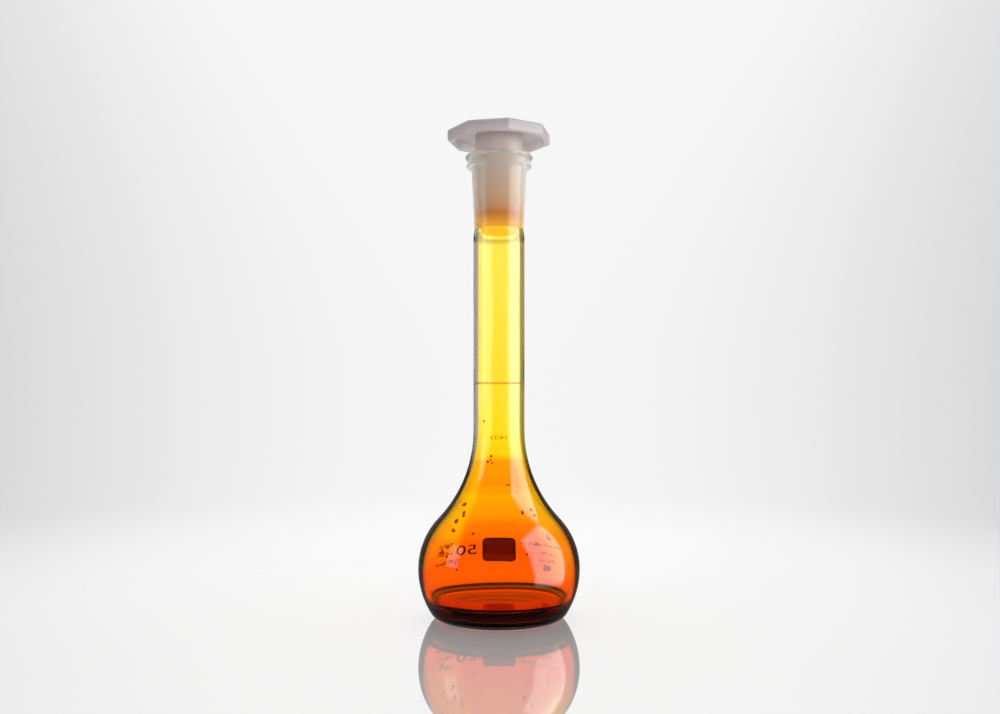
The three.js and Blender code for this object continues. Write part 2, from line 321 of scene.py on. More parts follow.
def clear_glass():
    """Unstained borosilicate on the inside of the wall: clear and fire polished, with a faint film."""
    material, tree, shader, place = new_material(
        "clear_borosilicate", Transmission_Weight=1.0, Roughness=0.0, IOR=1.473)
    _, tint = clouds(tree, place, 11, 2.0, (0.35, "FBFBFB"), (0.65, "FFFFFF"))
    feed(tree, shader, {"Base Color": tint})
    return material


def height_ramp(tree, place, *stops):
    """Colours up the socket, at heights in millimetres above its foot."""
    tall = socket_high.z - socket_low.z
    height = add(tree, "SeparateXYZ", {"Vector": place}).outputs["Z"]
    share = add(tree, "MapRange", {"Value": height, "From Min": socket_low.z, "From Max": socket_high.z})
    return add(tree, "ValToRGB", {"Fac": share}, stops=[(z * MM / tall, rgba) for z, rgba in stops])


def ground_glass(glass, socket):
    """Glass ground with fine grit, which scatters light, so it looks white and soft. The amber neck below
    lights up its lowest part."""
    material, tree, shader, place = new_material(
        "ground_borosilicate", Transmission_Weight=0.9, Roughness=0.5, IOR=1.473)
    glow = height_ramp(
        tree, place, (0, glass.neck_stain), (2, "FFC83C"), (4.6, "F29A28"), (6, "F0BC88"),
        (10, "F4DCBC"), (16, "F8ECDC"), (23, socket.ground))
    # Grit marks are drawn at 0.3 mm, coarser than real ones, so that they can show.
    grit, tooth = clouds(tree, place, 0.3, 3.0, (0.3, "EDEDED"), (0.7, "FFFFFF"))
    tint = add(tree, "Mix", {"Factor": 1.0, "A": glow, "B": tooth}, data_type="RGBA",
               blend_type="MULTIPLY")
    bump = add(tree, "Bump", {"Height": grit, "Strength": 0.3, "Distance": 0.05 * MM})
    feed(tree, shader, {"Base Color": tint, "Normal": bump})
    return material


def socket_glass(glass):
    """The socket's outside: etched to a soft satin, with the amber stain fading out above the seal."""
    material, tree, shader, place = new_material(
        "satin_borosilicate", Transmission_Weight=1.0, Roughness=0.25, IOR=1.473)
    glow = height_ramp(tree, place, (0, glass.neck_stain), (2.5, "FFD890"), (6, "F6EADC"),
                       (23, "F6F4F0"))
    etch = add(tree, "TexNoise", {"Vector": place, "Scale": 1 / (0.5 * MM), "Detail": 3.0})
    bump = add(tree, "Bump", {"Height": etch, "Strength": 0.15, "Distance": 0.05 * MM})
    feed(tree, shader, {"Base Color": glow, "Normal": bump})
    return material


def moulded_polyethylene(stopper):
    """Moulded low density polyethylene: milky, softly glossy, and lit from within where it is thin."""
    material, tree, shader, place = new_material(
        "moulded_polyethylene", Roughness=0.36, IOR=1.51, Subsurface_Weight=0.8, Subsurface_Scale=10 * MM,
        Subsurface_Radius=(1.0, 0.85, 0.8), Transmission_Weight=0.45)
    _, head = clouds(tree, place, 14, 3.0, (0.3, stopper.plastic_shade), (0.7, stopper.plastic))
    # Painted light: the plug is given a warmer, paler colour than the head, for the warm light from the amber
    # neck that shows through it where it is thin.
    height = add(tree, "SeparateXYZ", {"Vector": place}).outputs["Z"]
    root = stopper_high.z - stopper.head_thickness
    rise = add(tree, "MapRange", {"Value": height, "From Min": root - 1 * MM, "From Max": root + 2 * MM})
    tint = add(tree, "Mix", {"Factor": rise, "A": stopper.plug, "B": head}, data_type="RGBA")
    # The mould's spark-eroded texture, drawn at 0.5 mm.
    fine = add(tree, "TexNoise", {"Vector": place, "Scale": 1 / (0.5 * MM), "Detail": 3.0})
    bump = add(tree, "Bump", {"Height": fine, "Strength": 0.15, "Distance": 0.05 * MM})
    feed(tree, shader, {"Base Color": tint, "Normal": bump})
    return material


def fired_enamel(name, light, shade):
    """Ceramic enamel printed and fired on the glass: opaque, matt, and faintly uneven from the screen."""
    material, tree, shader, place = new_material(name, Roughness=0.5)
    screen, tint = clouds(tree, place, 0.5, 2.0, (0.35, shade), (0.6, light))
    bump = add(tree, "Bump", {"Height": screen, "Strength": 0.3, "Distance": 0.02 * MM})
    feed(tree, shader, {"Base Color": tint, "Normal": bump})
    return material


def amber_line(marks):
    """A thin line of silver stain, diffused into the glass: a shade browner than the neck."""
    material, tree, shader, place = new_material(
        "diffused_amber_line", Transmission_Weight=1.0, Roughness=0.15, IOR=1.473)
    _, tint = clouds(tree, place, 0.8, 2.0, (0.3, marks.ring), (0.7, "F0D8B0"))
    feed(tree, shader, {"Base Color": tint})
    return material


def amber_solution(solution):
    """A strong amber solution: clear to look through where it is shallow, and near black along its width."""
    material, tree, shader, place = new_material(
        "amber_solution", Transmission_Weight=1.0, Roughness=0.0, IOR=1.34)
    _, tint = clouds(tree, place, 6, 2.0, (0.3, "F8F4F0"), (0.7, "FFFFFF"))
    feed(tree, shader, {"Base Color": tint})
    depth = add(tree, "VolumeAbsorption", {"Color": solution.liquid, "Density": 1 / MM})
    feed(tree, shader.outputs["BSDF"].links[0].to_node, {"Volume": depth})
    return material


def solution_drop(solution):
    """A drop of the strong solution drying on the glass: dark red-brown, wet and shiny."""
    material, tree, shader, place = new_material(
        "drying_drop", Transmission_Weight=0.15, Roughness=0.1, IOR=1.34)
    _, tint = clouds(tree, place, 0.7, 2.0, (0.3, "B02808"), (0.7, solution.drop))
    feed(tree, shader, {"Base Color": tint})
    return material


def meniscus_shade_material(solution):
    """Painted shade: dark brown for the dark line where the solution's surface meets the wall."""
    material, tree, shader, place = new_material("painted_meniscus_shade", Roughness=0.35, IOR=1.45)
    _, tint = clouds(tree, place, 2.5, 3.0, (0.3, "2A0A02"), (0.7, solution.crust))
    feed(tree, shader, {"Base Color": tint})
    return material


def bench_top(stage):
    """White lacquer over polished sheet: a bright mirror near the flask that fades out into the backdrop."""
    material, tree, shader, place = new_material(
        "lacquered_bright_sheet", Metallic=0.56, Roughness=0.03)
    _, tint = clouds(tree, place, 150, 2.0, (0.3, "F5F5F5"), (0.7, stage.bench))
    reach = add(tree, "VectorMath", {0: place}, operation="LENGTH")
    fade = add(tree, "MapRange", {"Value": reach, "From Min": 110 * MM, "From Max": 420 * MM},
               interpolation_type="SMOOTHSTEP")
    # A black card hides the bench from the glass, so that the foot of the flask stays dark. What shows through
    # the flask is a little brighter.
    path = add(tree, "LightPath")
    glow = add(tree, "Math", {0: path.outputs["Is Transmission Ray"], 1: 0.22, 2: 0.16},
               operation="MULTIPLY_ADD")
    feed(tree, shader, {"Base Color": tint, "Emission Color": stage.bench, "Emission Strength": glow})
    hidden = add(tree, "Math", {0: fade, 1: mirror_rays(tree, path)}, operation="MAXIMUM")
    clear = add(tree, "BsdfTransparent")
    surface = shader.outputs["BSDF"].links[0].to_node
    mixed = add(tree, "MixShader", {0: hidden, 1: shader, 2: clear})
    feed(tree, surface, {"Surface": mixed})
    return material


# ---------------- shapes

def arc(r, z, radius, start, stop, steps):
    """Profile points on an arc about (r, z), from one angle to another in degrees."""
    angles = [math.radians(start + (stop - start) * i / steps) for i in range(steps + 1)]
    return [(r + radius * math.cos(angle), z + radius * math.sin(angle)) for angle in angles]


def line(r_start, z_start, r_end, z_end, steps):
    """Profile points on a straight line."""
    shares = [i / steps for i in range(steps + 1)]
    return [(r_start + (r_end - r_start) * share, z_start + (z_end - z_start) * share) for share in shares]


def curve(steps, place):
    """Profile points from a function of the share run so far, its start left out."""
    return [place(i / steps) for i in range(1, steps + 1)]


def turned(points, closed=False):
    """Turns a profile about the axis into a shell, facing out. A point on the one before it is left out, and a
    closed profile runs back to its first point."""
    bm = bmesh.new()
    chain = []
    for r, z in points:
        place = Vector((r, 0, z))
        if not chain or (chain[-1].co - place).length >= SAME_POINT:
            chain.append(bm.verts.new(place))
    following = chain[1:] + chain[:1] if closed else chain[1:]
    for ends in zip(chain, following):
        bm.edges.new(ends)
    profile = bm.verts[:] + bm.edges[:]
    bmesh.ops.spin(bm, geom=profile, cent=(0, 0, 0), axis=(0, 0, 1), angle=2 * math.pi, steps=ROUND_STEPS,
                   use_merge=True)
    bmesh.ops.remove_doubles(bm, verts=bm.verts[:], dist=1e-6)
    bmesh.ops.dissolve_degenerate(bm, edges=bm.edges[:], dist=SAME_POINT)
    bmesh.ops.recalc_face_normals(bm, faces=bm.faces[:])
    return bm


def from_axis(place):
    """Distance of a point from the flask's axis."""
    return math.hypot(place.x, place.y)


def outwards(face):
    """How far a face points away from the axis: below zero where it faces the axis."""
    centre = face.calc_center_median()
    return face.normal.dot(Vector((centre.x, centre.y, 0)))


def new_object(name, data):
    """A new object in the scene."""
    made = bpy.data.objects.new(name, data)
    bpy.context.scene.collection.objects.link(made)
    return made


def mesh_object(bm, name, materials):
    """A new object that holds the built mesh, with its materials."""
    data = bpy.data.meshes.new(name)
    bm.to_mesh(data)
    bm.free()
    for material in materials:
        data.materials.append(material)
    return new_object(name, data)


def finish_piece(bm, name, body, replaced, materials, sharp=35.0):
    """Makes the piece, smooth except at sharp edges, on a body, and in place of its CAD nodes."""
    for face in bm.faces:
        face.smooth = True
    for edge in bm.edges:
        edge.smooth = len(edge.link_faces) != 2 or edge.calc_face_angle(0) < math.radians(sharp)
    piece = mesh_object(bm, name, materials)
    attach(piece, body)
    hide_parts(*replaced)


class BulbShape:
    """The outside or an offset surface of the blown body, worked out from its arcs."""

    def __init__(self, glass, offset, floor, corner, neck, flare):
        self.widest = glass.bulb_height
        self.lower = body_high.x + offset
        self.shoulder = glass.shoulder_radius + offset
        self.inset = body_high.x - glass.shoulder_radius
        self.corner = corner
        self.corner_z = floor + corner
        self.corner_r = math.sqrt((self.lower - corner) ** 2 - (self.widest - self.corner_z) ** 2)
        self.corner_lift = math.degrees(math.atan2(self.corner_z - self.widest, self.corner_r))
        self.neck = neck
        self.flare = flare
        across = neck + flare - self.inset
        self.flare_z = self.widest + math.sqrt((self.shoulder + flare) ** 2 - across ** 2)
        self.touch = math.degrees(math.atan2(self.flare_z - self.widest, across))

    def points(self):
        """The whole curve, from the edge of the floor up to the foot of the neck."""
        return (arc(self.corner_r, self.corner_z, self.corner, -90, self.corner_lift, steps=12)
                + arc(0, self.widest, self.lower, self.corner_lift, 0, steps=18)
                + arc(self.inset, self.widest, self.shoulder, 0, self.touch, steps=21)
                + arc(self.neck + self.flare, self.flare_z, self.flare, 180 + self.touch, 180, steps=27))

    def radius_at(self, z):
        """Radius of the surface at a height above the foot corner."""
        if z < self.widest:
            return math.sqrt(self.lower ** 2 - (z - self.widest) ** 2)
        if z < self.widest + self.shoulder * math.sin(math.radians(self.touch)):
            return self.inset + math.sqrt(self.shoulder ** 2 - (z - self.widest) ** 2)
        if z < self.flare_z:
            return self.neck + self.flare - math.sqrt(self.flare ** 2 - (self.flare_z - z) ** 2)
        return self.neck


def outside_shape(glass):
    return BulbShape(glass, 0.0, 0.0, glass.foot_corner, glass.neck_radius, glass.flare_radius)


def inside_shape(glass):
    wall = glass.neck_wall
    return BulbShape(glass, -glass.bulb_wall, glass.floor_thickness, glass.floor_corner,
                     glass.neck_radius - wall, glass.flare_radius + wall)


# ---------------- operators

class FLASK_OT_stage(bpy.types.Operator):
    """Camera, bench, backdrop light and softboxes"""
    bl_idname = "flask.stage"
    bl_label = "Stage"

    def execute(self, context):
        scene = context.scene
        stage = scene.flask_stage
        camera_data = bpy.data.cameras.new("camera")
        camera_data.lens = stage.focal_length
        camera_data.sensor_width = 36.0
        camera_data.shift_x = stage.shift
        camera_data.shift_y = stage.rise
        camera_data.clip_start = 0.01
        camera_data.clip_end = 50.0
        camera = new_object("camera", camera_data)
        camera.location = (0, -stage.camera_distance, stage.camera_height)
        camera.rotation_euler = (math.radians(90), 0, 0)
        scene.camera = camera

        bm = bmesh.new()
        bmesh.ops.create_grid(bm, x_segments=8, y_segments=8, size=stage.bench_half)
        bmesh.ops.translate(bm, verts=bm.verts[:], vec=(0, 0, -stage.bench_drop))
        bench = mesh_object(bm, "bench", [bench_top(stage)])
        scene.world = self.studio(stage)
        room = bpy.data.collections.new("stage_only")
        room.objects.link(bench)
        aim = Vector((0, 0, stage.aim_height))
        self.softbox(room, aim, "right_softbox", (0.485, -0.121, 0.2), (0.64, 0.84), power=8.5, on_gloss=True)
        self.softbox(room, aim, "left_softbox", (-0.52, -0.19, 0.21), (0.22, 0.32), power=0.55, on_gloss=True)
        self.softbox(room, aim, "fill_panel", (0.36, -0.34, 0.1), (0.5, 0.18), power=1.6, on_gloss=False)
        scene.view_settings.view_transform = "Standard"
        scene.view_settings.look = "None"
        return {"FINISHED"}

    def studio(self, stage):
        """The backdrop is brightest behind the flask. What lights the flask is dimmer at the front."""
        world = bpy.data.worlds.new("studio")
        world.use_nodes = True
        tree = world.node_tree
        tree.nodes.clear()
        direction = add(tree, "TexCoord").outputs["Generated"]
        _, around = levelled(tree, direction)
        behind = add(tree, "SeparateXYZ", {"Vector": around}).outputs["Y"]
        parts = add(tree, "SeparateXYZ", {"Vector": direction})
        lift = parts.outputs["Z"]
        square = add(tree, "Math", {0: lift, 1: lift}, operation="MULTIPLY")
        spread = add(tree, "Math", {0: square, 1: 0.3, 2: behind}, operation="MULTIPLY_ADD")
        share = add(tree, "MapRange", {"Value": spread, "From Min": -1.0, "From Max": 1.0})
        seen = add(tree, "ValToRGB", {"Fac": share}, stops=[
            (0.0, "E4E4E4"), (0.75, "DCDCDC"), (0.94, stage.backdrop_edge),
            (0.978, "EBEBEB"), (1.0, stage.backdrop)])
        light = add(tree, "ValToRGB", {"Fac": share}, stops=[
            (0.0, "A8A8A8"), (0.5, "B8B8B8"), (0.9, "D8D8D8"), (1.0, stage.backdrop)])
        # Black flags at the front of the room keep haze out of the clear glass.
        flags = add(tree, "ValToRGB", {"Fac": share}, stops=[
            (0.0, "303030"), (0.75, "404040"), (0.95, "585858"), (1.0, "707070")])
        path = add(tree, "LightPath")
        through = path.outputs["Is Transmission Ray"]
        straight = add(tree, "Math", {0: path.outputs["Is Camera Ray"], 1: through}, operation="MAXIMUM")
        lit = add(tree, "Mix", {"Factor": mirror_rays(tree, path), "A": light, "B": flags},
                  data_type="RGBA")
        room = add(tree, "Mix", {"Factor": straight, "A": lit, "B": seen}, data_type="RGBA")
        # Higher up the backdrop falls off, as its lamps stand on the floor. Only clear glass shows it there.
        clear = add(tree, "Math", {0: path.outputs["Is Singular Ray"], 1: lift}, operation="MULTIPLY")
        falloff = add(tree, "MapRange", {
            "Value": clear, "From Min": 0.17, "From Max": 0.23, "To Min": 0.4, "To Max": -0.16})
        # Light that reaches the matt plug through the glass round it is made stronger, most of all from the
        # right, to make up for the shadow that this glass casts.
        matt = add(tree, "Math", {0: path.outputs["Diffuse Depth"], 1: 1.0}, operation="MINIMUM")
        lean = add(tree, "Math", {0: parts.outputs["X"], 1: 1.5, 2: 1.2}, operation="MULTIPLY_ADD")
        lifted = add(tree, "Math", {0: matt, 1: lean, 2: falloff}, operation="MULTIPLY_ADD")
        power = add(tree, "Math", {0: through, 1: lifted, 2: 1.0}, operation="MULTIPLY_ADD")
        background = add(tree, "Background", {"Color": room, "Strength": power})
        add(tree, "OutputWorld", {"Surface": background})
        return world

    def softbox(self, room, aim, name, place, size, power, on_gloss):
        """A softbox shines either on gloss alone or on matt faces alone, and never on the bench."""
        data = bpy.data.lights.new(name, "AREA")
        data.shape = "RECTANGLE"
        data.size, data.size_y = size
        data.energy = power
        lamp = new_object(name, data)
        lamp.location = place
        lamp.rotation_euler = (aim - Vector(place)).to_track_quat("-Z", "Y").to_euler()
        data.use_nodes = True
        tree = data.node_tree
        tree.nodes.clear()
        # The cloth is brightest in its middle and fades out to its sides.
        cloth = add(tree, "NewGeometry").outputs["Parametric"]
        sides = add(tree, "SeparateXYZ", {"Vector": cloth})
        glow = 1.0
        for axis in ("X", "Y"):
            rest = add(tree, "Math", {0: 1.0, 1: sides.outputs[axis]}, operation="SUBTRACT")
            hump = add(tree, "Math", {0: rest, 1: sides.outputs[axis]}, operation="MULTIPLY")
            soft = add(tree, "MapRange", {"Value": hump, "From Max": 0.12},
                       interpolation_type="SMOOTHSTEP")
            glow = add(tree, "Math", {0: soft, 1: glow}, operation="MULTIPLY")
        emission = add(tree, "Emission", {"Strength": glow})
        add(tree, "OutputLight", {"Surface": emission})
        lamp.visible_camera = False
        lamp.visible_diffuse = not on_gloss
        lamp.visible_glossy = on_gloss
        lamp.visible_transmission = False
        lamp.light_linking.receiver_collection = room
        for held in room.collection_objects:
            held.light_linking.link_state = "EXCLUDE"


class FLASK_OT_body(bpy.types.Operator):
    """The blown flask: base, bulb, flare and neck"""
    bl_idname = "flask.body"
    bl_label = "Flask Body"

    def execute(self, context):
        glass = context.scene.flask_glass
        socket = context.scene.flask_socket
        outside = outside_shape(glass)
        inside = inside_shape(glass)
        top = body_high.z
        seal = glass.seal_height
        punt_arc = (glass.punt_radius ** 2 + glass.punt_rise ** 2) / (2 * glass.punt_rise)
        punt_edge = math.degrees(math.acos(glass.punt_radius / punt_arc))
        outer = arc(0, glass.punt_rise - punt_arc, punt_arc, 90, punt_edge, steps=6)
        outer += outside.points()
        outer += line(outside.neck, outside.flare_z, outside.neck, top - seal, steps=8)
        outer += curve(8, lambda share: (
            outside.neck - socket.waist * (1 - math.cos(share * math.pi / 2)), top - seal * (1 - share)))
        floor = glass.floor_thickness
        inner = line(0, floor, inside.corner_r, floor, steps=6)
        inner += inside.points()
        inner += line(inside.neck, inside.flare_z, inside.neck, top - 2 * seal, steps=24)
        seal_bore = socket.large_radius - (socket_high.z - top) * socket.taper / 2
        inner += curve(8, lambda share: (
            inside.neck + (seal_bore - inside.neck) * (1 - math.cos(share * math.pi)) / 2,
            top - 2 * seal * (1 - share)))
        bm = turned(outer + inner[::-1])

        def is_inner(place):
            middle = (outside.radius_at(place.z) + inside.radius_at(place.z)) / 2
            return place.z > floor / 2 and from_axis(place) < middle

        for vertex in bm.verts:
            if is_inner(vertex.co):
                self.wander(vertex, glass)
        for face in bm.faces:
            face.material_index = 1 if is_inner(face.calc_center_median()) else 0
        finish_piece(bm, "flask_body_glass", "flask", ["flask_body"],
                     [amber_stained_glass(glass), clear_glass()])
        return {"FINISHED"}

    def wander(self, vertex, glass):
        """A blown wall isn't even: the inside drifts a little round and along it, away from foot and seal."""
        z = vertex.co.z / MM
        fade = min(1.0, max(0.0, (z - 8) / 8)) * min(1.0, max(0.0, (body_high.z / MM - z) / 25))
        if fade == 0:
            return
        angle = math.atan2(vertex.co.y, vertex.co.x)
        wave = math.sin(2 * angle + z * 0.11) + 0.6 * math.sin(3 * angle - z * 0.23 + 1.3)
        wave += 0.4 * math.sin(angle + z * 0.37 + 0.4)
        vertex.co.xy *= 1 + fade * glass.wander * wave / from_axis(vertex.co)


class FLASK_OT_socket(bpy.types.Operator):
    """The ground socket with its double-beaded rim"""
    bl_idname = "flask.socket"
    bl_label = "Ground Socket"

    def execute(self, context):
        glass = context.scene.flask_glass
        socket = context.scene.flask_socket
        low, high = socket_low.z, socket_high.z

        def bore(z):
            return socket.large_radius - (high - z) * socket.taper / 2

        def outer_wall(z):
            return bore(z) + socket.wall

        bead = socket.collar_bead
        collar_z = high - socket.collar_below
        under = collar_z - bead
        fillet_foot = under - socket.collar_fillet
        waist = glass.neck_radius - socket.waist
        waist_top = low + socket.waist_height
        points = [(bore(low), low), (waist, low)]
        points += curve(6, lambda share: (
            waist + (outer_wall(waist_top) - waist) * share * share * (3 - 2 * share),
            low + socket.waist_height * share))
        points += line(outer_wall(waist_top), waist_top, outer_wall(fillet_foot), fillet_foot, steps=6)
        side = outer_wall(fillet_foot)
        core = socket.collar_radius - bead
        points += curve(8, lambda share: (
            side + (core - side) * (1 - math.cos(math.pi / 2 * share)),
            fillet_foot + (under - fillet_foot) * math.sin(math.pi / 2 * share)))
        points += arc(core, collar_z, bead, -90, 62, steps=14)
        groove_r = socket.collar_radius - socket.groove_depth + socket.groove_radius
        groove_z = (collar_z + bead + high - 2 * socket.rim_bead) / 2
        points += arc(groove_r, groove_z, socket.groove_radius, 230, 140, steps=6)
        rim = socket.rim_bead
        points += arc(socket_high.x - rim, high - rim, rim, -62, 90, steps=14)
        lip = socket.lip
        points += arc(bore(high) + lip, high - lip, lip, 90, 180, steps=8)
        points += line(bore(high - lip), high - lip, bore(low), low, steps=16)[1:-1]
        bm = turned(points, closed=True)
        ground_radius = bore(high) + 0.1 * MM
        for face in bm.faces:
            radius = from_axis(face.calc_center_median())
            is_ground = outwards(face) < -0.5 * radius and radius < ground_radius
            face.material_index = 1 if is_ground else 0
        finish_piece(bm, "ground_socket_glass", "flask", ["ground_socket"],
                     [socket_glass(glass), ground_glass(glass, socket)])
        return {"FINISHED"}


class FLASK_OT_stopper(bpy.types.Operator):
    """The moulded stopper: octagonal head, round recess and hollow taper plug"""
    bl_idname = "flask.stopper"
    bl_label = "Stopper"

    def execute(self, context):
        stopper = context.scene.flask_stopper
        socket = context.scene.flask_socket
        top = stopper_high.z
        bottom = top - stopper.head_thickness
        plate = top - stopper.plate_thickness
        tip = stopper_low.z

        def plug(z):
            return socket.large_radius - (socket_high.z - z) * socket.taper / 2 - stopper.plug_clearance

        bm = bmesh.new()
        half_side = math.pi / 8
        corner = stopper.across_flats / 2 / math.cos(half_side)
        outline = bmesh.ops.create_circle(bm, segments=8, radius=corner)["verts"]
        bmesh.ops.rotate(bm, verts=outline, cent=(0, 0, 0),
                         matrix=Matrix.Rotation(stopper.turn - math.pi / 2, 3, "Z"))
        bmesh.ops.bevel(bm, geom=bm.verts[:], offset=stopper.corner_radius * math.tan(half_side),
                        offset_type="OFFSET", segments=5, profile=0.5, affect="VERTICES", material=-1)
        bmesh.ops.translate(bm, verts=bm.verts[:], vec=(0, 0, bottom))
        base_loop = bm.edges[:]
        sides = bmesh.ops.extrude_edge_only(bm, edges=base_loop)["geom"]
        top_verts = [g for g in sides if isinstance(g, bmesh.types.BMVert)]
        top_loop = self.loop_of(top_verts)
        bmesh.ops.translate(bm, verts=top_verts, vec=(0, 0, top - bottom))
        bmesh.ops.contextual_create(bm, geom=top_loop)

        ring = bmesh.ops.create_circle(bm, segments=96, radius=stopper.recess_radius)["verts"]
        bmesh.ops.translate(bm, verts=ring, vec=(0, 0, bottom))
        loop = self.loop_of(ring)
        bmesh.ops.bridge_loops(bm, edges=base_loop + loop)
        loop = self.extend(bm, loop, stopper.recess_radius - stopper.recess_draft, plate)
        loop = self.extend(bm, loop, plug(plate) + 0.01 * MM, plate)
        for i in range(1, 9):
            z = plate - (plate - tip - stopper.tip_chamfer) * i / 8
            loop = self.extend(bm, loop, plug(z), z)
        loop = self.extend(bm, loop, plug(tip) - stopper.tip_chamfer, tip)
        for i in range(5):
            z = tip + (plate - tip) * i / 4
            loop = self.extend(bm, loop, plug(z) - stopper.plug_wall, z)
        bmesh.ops.contextual_create(bm, geom=loop)
        bmesh.ops.recalc_face_normals(bm, faces=bm.faces[:])
        rounded = [edge for edge in base_loop + top_loop if edge.is_valid]
        bmesh.ops.bevel(bm, geom=rounded, offset=stopper.edge_radius, offset_type="OFFSET", segments=4,
                        profile=0.5, affect="EDGES", material=-1, clamp_overlap=True)
        finish_piece(bm, "stopper_moulding", "stopper", ["stopper"],
                     [moulded_polyethylene(stopper)], sharp=32.0)
        return {"FINISHED"}

    def loop_of(self, verts):
        """The edges whose two ends are both among the given ones."""
        chosen = set(verts)
        return list({e for v in verts for e in v.link_edges if all(w in chosen for w in e.verts)})

    def extend(self, bm, edges, radius, z):
        """Extrudes a round loop of edges to a new radius and height, and gives the new loop."""
        grown = bmesh.ops.extrude_edge_only(bm, edges=edges)["geom"]
        verts = [g for g in grown if isinstance(g, bmesh.types.BMVert)]
        for vertex in verts:
            across = from_axis(vertex.co)
            vertex.co = Vector((vertex.co.x * radius / across, vertex.co.y * radius / across, z))
        return self.loop_of(verts)


class FLASK_OT_marks(bpy.types.Operator):
    """The graduation ring, the writing patch and the printed rows"""
    bl_idname = "flask.marks"
    bl_label = "Enamel Marks"

    def execute(self, context):
        marks = context.scene.flask_marks
        white = fired_enamel("fired_white_enamel", marks.enamel, "D8D2C4")
        # Painted shade: the enamel's faces on the glass take these darker colours; the patch's lighter field
        # is painted light through the thin enamel.
        painted_shade_back = fired_enamel("enamel_under_stain", marks.underside, "2A0C04")
        field = fired_enamel("thin_enamel_under_stain", marks.field, "7C2C0C")
        pale = fired_enamel("pale_enamel_under_stain", "E0A040", "C08830")
        self.film = marks.film
        self.surface = outside_shape(context.scene.flask_glass)
        self.graduation(marks)
        self.patch(marks, [white, painted_shade_back, field])
        random.seed(14)
        for node in sorted(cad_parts):
            if node.startswith("print_"):
                self.print_row(node, [white, pale if node == "print_neck_size" else painted_shade_back])
        return {"FINISHED"}

    def graduation(self, marks):
        """A low half-round bead round the neck."""
        half = (ring_high.z - ring_low.z) / 2
        inside = self.surface.neck + 0.01 * MM
        bead = arc(0, ring_low.z + half, half, -90, 90, steps=8)
        bm = turned([(inside + r * self.film / half, z) for r, z in bead], closed=True)
        finish_piece(bm, "graduation_ring", "flask", ["graduation_mark"], [amber_line(marks)])

    def on_glass(self, azimuth, z):
        """A place just off the glass, at an azimuth measured from +Y towards +X."""
        radius = self.surface.radius_at(z) + 0.02 * MM
        return Vector((radius * math.sin(azimuth), radius * math.cos(azimuth), z))

    def strip(self, bm, azimuth_low, azimuth_high, low, high, rows, columns):
        """A grid on the glass between two azimuths and two heights."""
        made = bmesh.ops.create_grid(bm, x_segments=columns, y_segments=rows, size=0.5)["verts"]
        for vertex in made:
            azimuth = azimuth_low + (azimuth_high - azimuth_low) * (vertex.co.x + 0.5)
            z = low + (high - low) * (vertex.co.y + 0.5)
            vertex.co = self.on_glass(azimuth, z)

    def thicken(self, bm):
        """Gives a sheet of enamel its thickness, away from the glass. Its face on the glass takes the second
        material, painted shade for the enamel seen through the stained glass.
        """
        for face in bm.faces:
            if outwards(face) < 0:
                face.normal_flip()
        raised = bmesh.ops.extrude_face_region(bm, geom=bm.faces[:], use_keep_orig=True)["geom"]
        for vertex in [g for g in raised if isinstance(g, bmesh.types.BMVert)]:
            vertex.co += Vector((vertex.co.x, vertex.co.y, 0)).normalized() * self.film
        bmesh.ops.recalc_face_normals(bm, faces=bm.faces[:])
        for face in bm.faces:
            face.material_index = 1 if outwards(face) < 0 else 0

    def patch(self, marks, materials):
        """The writing patch, cut from a sheet wrapped on the bulb."""
        low, high = patch_low, patch_high
        half = (high.x - low.x) / 2
        tall = (high.z - low.z) / 2
        middle = (high.z + low.z) / 2
        # The sheet is a little larger than the patch, which is then cut from it.
        margin = 0.3 * MM
        reach = half / self.surface.lower * 1.15
        bm = bmesh.new()
        self.strip(bm, -reach, reach, low.z - margin, high.z + margin, 30, 40)
        round_off = marks.patch_corner
        for side_x in (-1, 1):
            for side_z in (-1, 1):
                corner = Vector((side_x * (half - round_off), 0, middle + side_z * (tall - round_off)))
                for step in range(9):
                    angle = math.pi / 2 * step / 8
                    out = Vector((side_x * math.cos(angle), 0, side_z * math.sin(angle)))
                    bmesh.ops.bisect_plane(bm, geom=bm.verts[:] + bm.edges[:] + bm.faces[:],
                                           plane_co=corner + out * round_off, plane_no=out, clear_outer=True)
        self.thicken(bm)
        # Painted light: the field inside the printed frame is thinner, so it is given a lighter colour, for
        # light coming through the glass and the thin enamel.
        for face in bm.faces:
            centre = face.calc_center_median()
            inner = max(abs(centre.x) - half, abs(centre.z - middle) - tall) < -marks.patch_frame
            if inner and face.material_index == 1:
                face.material_index = 2
        finish_piece(bm, "writing_patch_enamel", "flask", ["writing_patch"], materials)

    def print_row(self, node, materials):
        """Figures on the tall row and on the neck, and small plain strokes for lettering elsewhere."""
        low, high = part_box(node)
        corners = [v.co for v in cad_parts[node].data.vertices]
        azimuths = [math.atan2(corner.x, corner.y) for corner in corners]
        first, last = min(azimuths), max(azimuths)
        bm = bmesh.new()
        if node == "print_class_box":
            self.figures(bm, "50", first, last, low.z + 0.2 * MM, high.z - 0.2 * MM)
        elif node == "print_neck_size":
            self.figures(bm, "14/23", first, last, low.z + 0.1 * MM, high.z - 0.1 * MM)
        else:
            self.strokes(bm, first, last, low.z + 0.15 * MM, high.z - 0.15 * MM)
        self.thicken(bm)
        finish_piece(bm, node + "_enamel", "flask", [node], materials)

